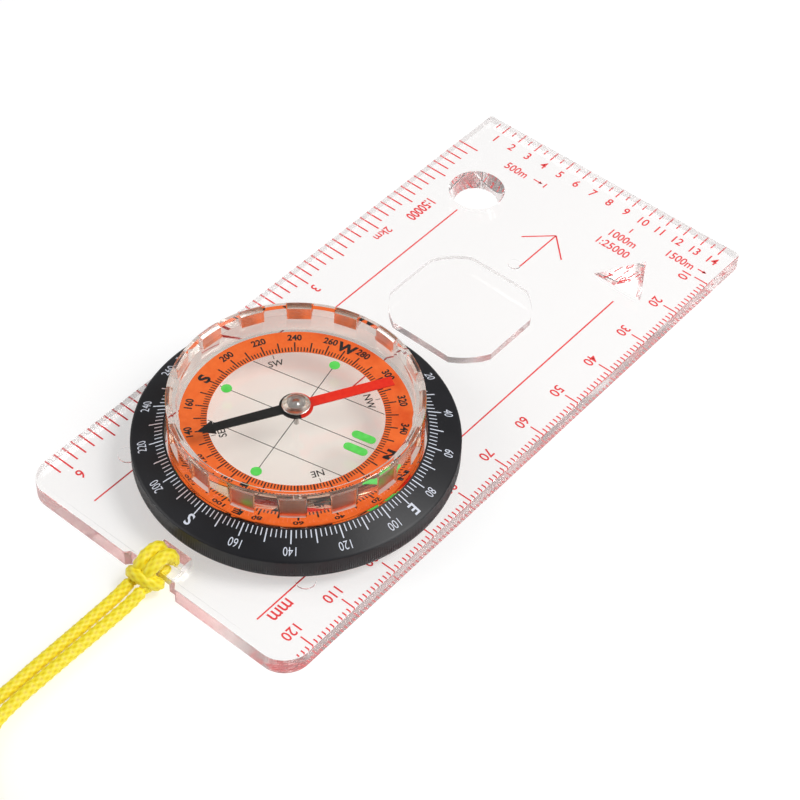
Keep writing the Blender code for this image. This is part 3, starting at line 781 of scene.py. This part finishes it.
def ring_height(radius):
    """Height of the sloping face at a radius."""
    (r0, h0), (r1, h1) = RING_TOP
    return TOP + h0 + (h1 - h0) * (radius - r0) / (r1 - r0)


def degree_ring(skin, white):
    profile = [(22.3, 5.6), (22.4, 5.68), (22.6, 5.61), (27.7, 4.15), (28.0, 4.02), (28.15, 3.86),
               (28.2, 3.65), (28.2, 1.2), (28.2, 0.6), (28.1, 0.4), (27.9, 0.3), (26.85, 0.3), (26.85, 1.3),
               (27.3, 1.4), (27.3, 2.5), (25.7, 2.5), (25.7, 0.35), (25.0, 0.35), (25.0, 1.95), (22.3, 1.95)]

    def rib(index, i):
        return -RIB_DEPTH * (i % 2) if index in RIBBED_POINTS else 0.0

    mesh = turned("ring", [(r, TOP + h) for r, h in profile], DIAL, RING_STEPS, rib)
    smooth(mesh, 40.0)
    obj = add("degree_ring", mesh, skin, "bezel")
    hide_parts("bezel_ring")

    print_ = Print()
    for degrees in range(0, 360, 2):
        outer = 25.0 if degrees % 10 == 0 else 24.0
        print_.bar(around(degrees, 22.65), around(degrees, outer), 0.17 if degrees % 10 else 0.21)
    for degrees in range(0, 360, 20):
        if degrees not in (0, 180):
            print_.text(str(degrees), around(degrees, 26.25), 1.5, -degrees, 0.78, -0.004)
    for degrees, letter in ((0, "N"), (90, "E"), (180, "S"), (270, "W")):
        print_.text(letter, around(degrees, 26.1), 1.95, -degrees, 0.95, 0.02)
    add("ring_print", print_.mesh("ring_print", lambda r: ring_height(r) + 0.035), white, "bezel")


# ---- capsule -------------------------------------------------------------------------------------

CAPSULE_RADIUS = 21.8
POCKETS, FIRST_POCKET = 16, 139.4
POCKET_HALF_WIDTH, POCKET_DEPTH, POCKET_REACH = 2.1, 0.8, 24.0
POCKET_LOW, POCKET_HIGH = 7.8, 12.1
SLACK = 0.1


def capsule(skin, liquid, frosted):
    """The clear capsule with its frosted grip pockets, and the liquid inside it."""
    rim, outer = 21.1, CAPSULE_RADIUS
    profile = [(0.0, 13.1), (rim - 0.45, 13.1), (rim - 0.1, 13.4), (rim, 13.5), (outer - 0.2, 13.5),
               (outer - 0.05, 13.42), (outer, 13.25), (outer, 2.1), (outer + 0.1, 1.75), (22.1, 1.6),
               (24.6, 1.6), (24.6, 0.35), (0.0, 0.35)]
    mesh = turned("capsule", [(r, TOP + h) for r, h in profile], DIAL, 192)
    pockets = []
    for i in range(POCKETS):
        azimuth = FIRST_POCKET + i * 360.0 / POCKETS
        shape = box((-POCKET_HALF_WIDTH, CAPSULE_RADIUS - POCKET_DEPTH, TOP + POCKET_LOW),
                    (POCKET_HALF_WIDTH, POCKET_REACH, TOP + POCKET_HIGH))
        shape.transform(Matrix.Translation((DIAL.x * MM, DIAL.y * MM, 0.0))
                        @ Matrix.Rotation(-math.radians(azimuth), 4, "Z"))
        pockets.append(shape)
    joined = bmesh.new()
    for shape in pockets:
        joined.from_mesh(shape)
    cutter = bpy.data.meshes.new("pockets")
    joined.to_mesh(cutter)
    joined.free()
    mesh = cut(mesh, [cutter])
    smooth(mesh, 25.0)
    obj = add("capsule_skin", mesh, skin, "capsule")
    mesh.materials.append(frosted)
    for face in mesh.polygons:
        middle = face.center / MM
        inward = math.hypot(middle.x - DIAL.x, middle.y - DIAL.y) < CAPSULE_RADIUS - SLACK
        level = TOP + POCKET_LOW - SLACK < middle.z < TOP + POCKET_HIGH + SLACK
        face.material_index = 1 if inward and level else 0
    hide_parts("capsule_cover", "capsule_base", "meridian_disc", "capsule_seal", "filler_plug")
    profile = [(0.0, 11.6), (19.8, 11.6), (20.1, 11.3), (20.1, 2.7), (0.0, 2.7)]
    inside = turned("liquid", [(r, TOP + h) for r, h in profile], DIAL, 192)
    smooth(inside, 40.0)
    add("capsule_liquid", inside, liquid, "capsule")


BAND_INNER, BAND_OUTER = 15.05, 19.85
BAND_LOW, BAND_HIGH = 3.95, 4.2
LINE_REACH, LINE_SPACING = 15.0, 7.7


def dial(orange, black, green):
    """The dial's orange band, its scale, the orienting lines and the luminous marks."""
    profile = [(BAND_INNER, BAND_HIGH), (BAND_OUTER, BAND_HIGH), (BAND_OUTER, BAND_LOW),
               (BAND_INNER, BAND_LOW)]
    band = turned("dial_band", [(r, TOP + h) for r, h in profile], DIAL, 192)
    shape = bmesh.new()
    shape.from_mesh(band)
    bmesh.ops.recalc_face_normals(shape, faces=shape.faces)
    shape.to_mesh(band)
    shape.free()
    obj = add("dial_band", band, orange, "capsule")
    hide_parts("dial_ring")
    print_ = Print()
    for degrees in range(0, 360, 2):
        outer = 17.3 if degrees % 10 == 0 else 16.1
        az = DIAL_NORTH + degrees
        print_.bar(around(az, 15.1), around(az, outer), 0.25 if degrees % 10 == 0 else 0.2)
    for degrees in range(0, 360, 20):
        if degrees not in (0, 180):
            az = DIAL_NORTH + degrees
            print_.text(str(degrees), around(az, 18.4), 1.3, -az, 0.88, 0.03)
    for degrees, letter in ((0, "N"), (90, "E"), (180, "S"), (270, "W")):
        az = DIAL_NORTH + degrees
        print_.text(letter, around(az, 18.0), 1.95, -az, 1.1, 0.045)
    add("dial_print", print_.mesh("dial_print", TOP + 4.22), black, "capsule")

    lines = Print()
    north = direction(DIAL_NORTH)
    east = direction(DIAL_NORTH + 90)
    for offset in (-LINE_SPACING, 0.0, LINE_SPACING):
        half = math.sqrt(LINE_REACH ** 2 - offset ** 2) - 0.1
        lines.bar(DIAL + east * offset - north * half, DIAL + east * offset + north * half, 0.15)
    lines.bar(DIAL - east * 13.9, DIAL + east * 13.9, 0.15)
    for degrees, letters in ((45, "NE"), (135, "SE"), (225, "SW"), (315, "NW")):
        az = DIAL_NORTH + degrees
        lines.text(letters, around(az, 12.9), 1.3, -az, 0.95)
        lines.bar(around(az, 14.85), around(az, 14.0), 0.13)
    add("dial_lines", lines.mesh("dial_lines", TOP + 3.97), black, "capsule")
    for name in ("luminous_dot_west", "luminous_dot_south", "luminous_dot_east", "luminous_bar_left",
                 "luminous_bar_right"):
        dress(name, green)


def hub(silver):
    """The needle's bright cap."""
    profile = [(0.0, 10.52), (0.45, 10.52), (0.55, 10.46), (1.2, 10.46), (1.3, 10.56), (1.55, 10.55),
               (1.7, 10.42), (2.2, 9.8), (2.45, 9.68), (2.47, 9.36), (1.0, 9.36), (1.0, 8.45), (0.8, 8.45),
               (0.8, 10.2), (0.0, 10.2)]
    mesh = turned("hub", [(r, TOP + h) for r, h in profile], DIAL, 64)
    smooth(mesh, 35.0)
    obj = add("needle_hub", mesh, silver, "needle")
    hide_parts("needle_cap")


def dress(name, skin):
    """Gives a CAD node its material."""
    mesh = NODES[name].data
    mesh.materials.clear()
    mesh.materials.append(skin)


# ---- studio --------------------------------------------------------------------------------------

# Name, place and width in metres, and power in watts
LAMPS = (("overhead", (0.34, 0.3, 0.8), 0.3, 3.8), ("right", (0.6, 0.25, 0.5), 0.5, 2.4),
         ("left", (-0.55, -0.45, 0.45), 0.5, 2.0))
LAMP_TARGET = Vector((0.0, -0.03, 0.0))
WORLD_STRENGTH = 0.26
FLOOR_GLOW = 0.5
BOUNCES = 48
FLOOR_HALF, FLOOR_HEIGHT = 1500, -0.02


def area(name, place, width, power):
    """A square lamp that faces the object."""
    data = bpy.data.lights.new(name, "AREA")
    data.shape = "RECTANGLE"
    data.size, data.size_y = width, width
    data.energy = power
    lamp = bpy.data.objects.new(name, data)
    lamp.location = place
    lamp.rotation_euler = (LAMP_TARGET - Vector(place)).to_track_quat("-Z", "Y").to_euler()
    bpy.context.scene.collection.objects.link(lamp)


def studio():
    scene = bpy.context.scene
    scene.view_settings.view_transform = "Standard"
    scene.cycles.max_bounces = BOUNCES
    scene.cycles.transmission_bounces = BOUNCES
    scene.cycles.glossy_bounces = BOUNCES
    scene.cycles.transparent_max_bounces = 24
    scene.cycles.caustics_reflective = False
    scene.cycles.caustics_refractive = True
    scene.cycles.use_denoising = True
    world = bpy.data.worlds.new("studio")
    scene.world = world
    world.use_nodes = True
    sky = world.node_tree.nodes["Background"]
    sky.inputs["Color"].default_value = (1.0, 1.0, 1.0, 1.0)
    sky.inputs["Strength"].default_value = WORLD_STRENGTH
    for lamp in LAMPS:
        area(*lamp)
    corners = [(x * FLOOR_HALF, y * FLOOR_HALF, FLOOR_HEIGHT)
               for x, y in ((-1, -1), (1, -1), (1, 1), (-1, 1))]
    mesh = mesh_from("floor", corners, [[0, 1, 2, 3]])
    made, tree, shader = material("paper")
    tone = mixed(tree, mottle(tree, 25.0).outputs["Fac"], (0.56, 0.56, 0.56), (0.58, 0.58, 0.58))
    tree.links.new(tone.outputs["Color"], shader.inputs["Base Color"])
    shader.inputs["Roughness"].default_value = 0.9
    shader.inputs["Specular IOR Level"].default_value = 0.1
    shader.inputs["Emission Color"].default_value = (1.0, 1.0, 1.0, 1.0)
    shader.inputs["Emission Strength"].default_value = FLOOR_GLOW
    floor = add("floor", mesh, made, None)


# ---- build ---------------------------------------------------------------------------------------

make_camera()
lanyard(cord_yarn())

ACRYLIC = clear("clear_acrylic", (0.95, 0.86, 0.84), side=0.16, body=(0.985, 0.98, 0.975))
CAPSULE_ACRYLIC = clear("capsule_acrylic", (0.96, 0.83, 0.55))
FROSTED = clear("frosted_acrylic", (0.96, 0.83, 0.55), roughness=0.3)
LIQUID = clear("capsule_liquid", (0.98, 0.98, 0.98), ior=0.972, waviness=0.0)
BLACK = black_plastic()
RED_INK = ink("red_ink", (0.86, 0.045, 0.05), (0.95, 0.075, 0.08))
WHITE_INK = ink("white_ink", (0.68, 0.72, 0.82), (0.78, 0.82, 0.92))
ORANGE_INK = ink("orange_ink", (0.93, 0.15, 0.02), (1.0, 0.19, 0.03), 0.5)
BLACK_INK = ink("black_ink", (0.008, 0.008, 0.008), (0.02, 0.018, 0.018))
GREEN_INK = ink("luminous_green", (0.09, 0.72, 0.09), (0.15, 0.85, 0.16))
SILVER = metal("bright_metal", (0.82, 0.8, 0.77), 0.2, 900.0)
STEEL = metal("pivot_steel", (0.5, 0.49, 0.48), 0.3, 1500.0)
JEWEL = ink("jewel", (0.5, 0.08, 0.1), (0.6, 0.1, 0.13), 0.1)

plate(ACRYLIC)
plate_print(RED_INK)
degree_ring(BLACK, WHITE_INK)
capsule(CAPSULE_ACRYLIC, LIQUID, FROSTED)
dial(ORANGE_INK, BLACK_INK, GREEN_INK)
hub(SILVER)
dress("needle_strip", needle_paint())
dress("pivot_pin", STEEL)
dress("pivot_jewel", JEWEL)
dress("bezel_retainer", BLACK)
studio()
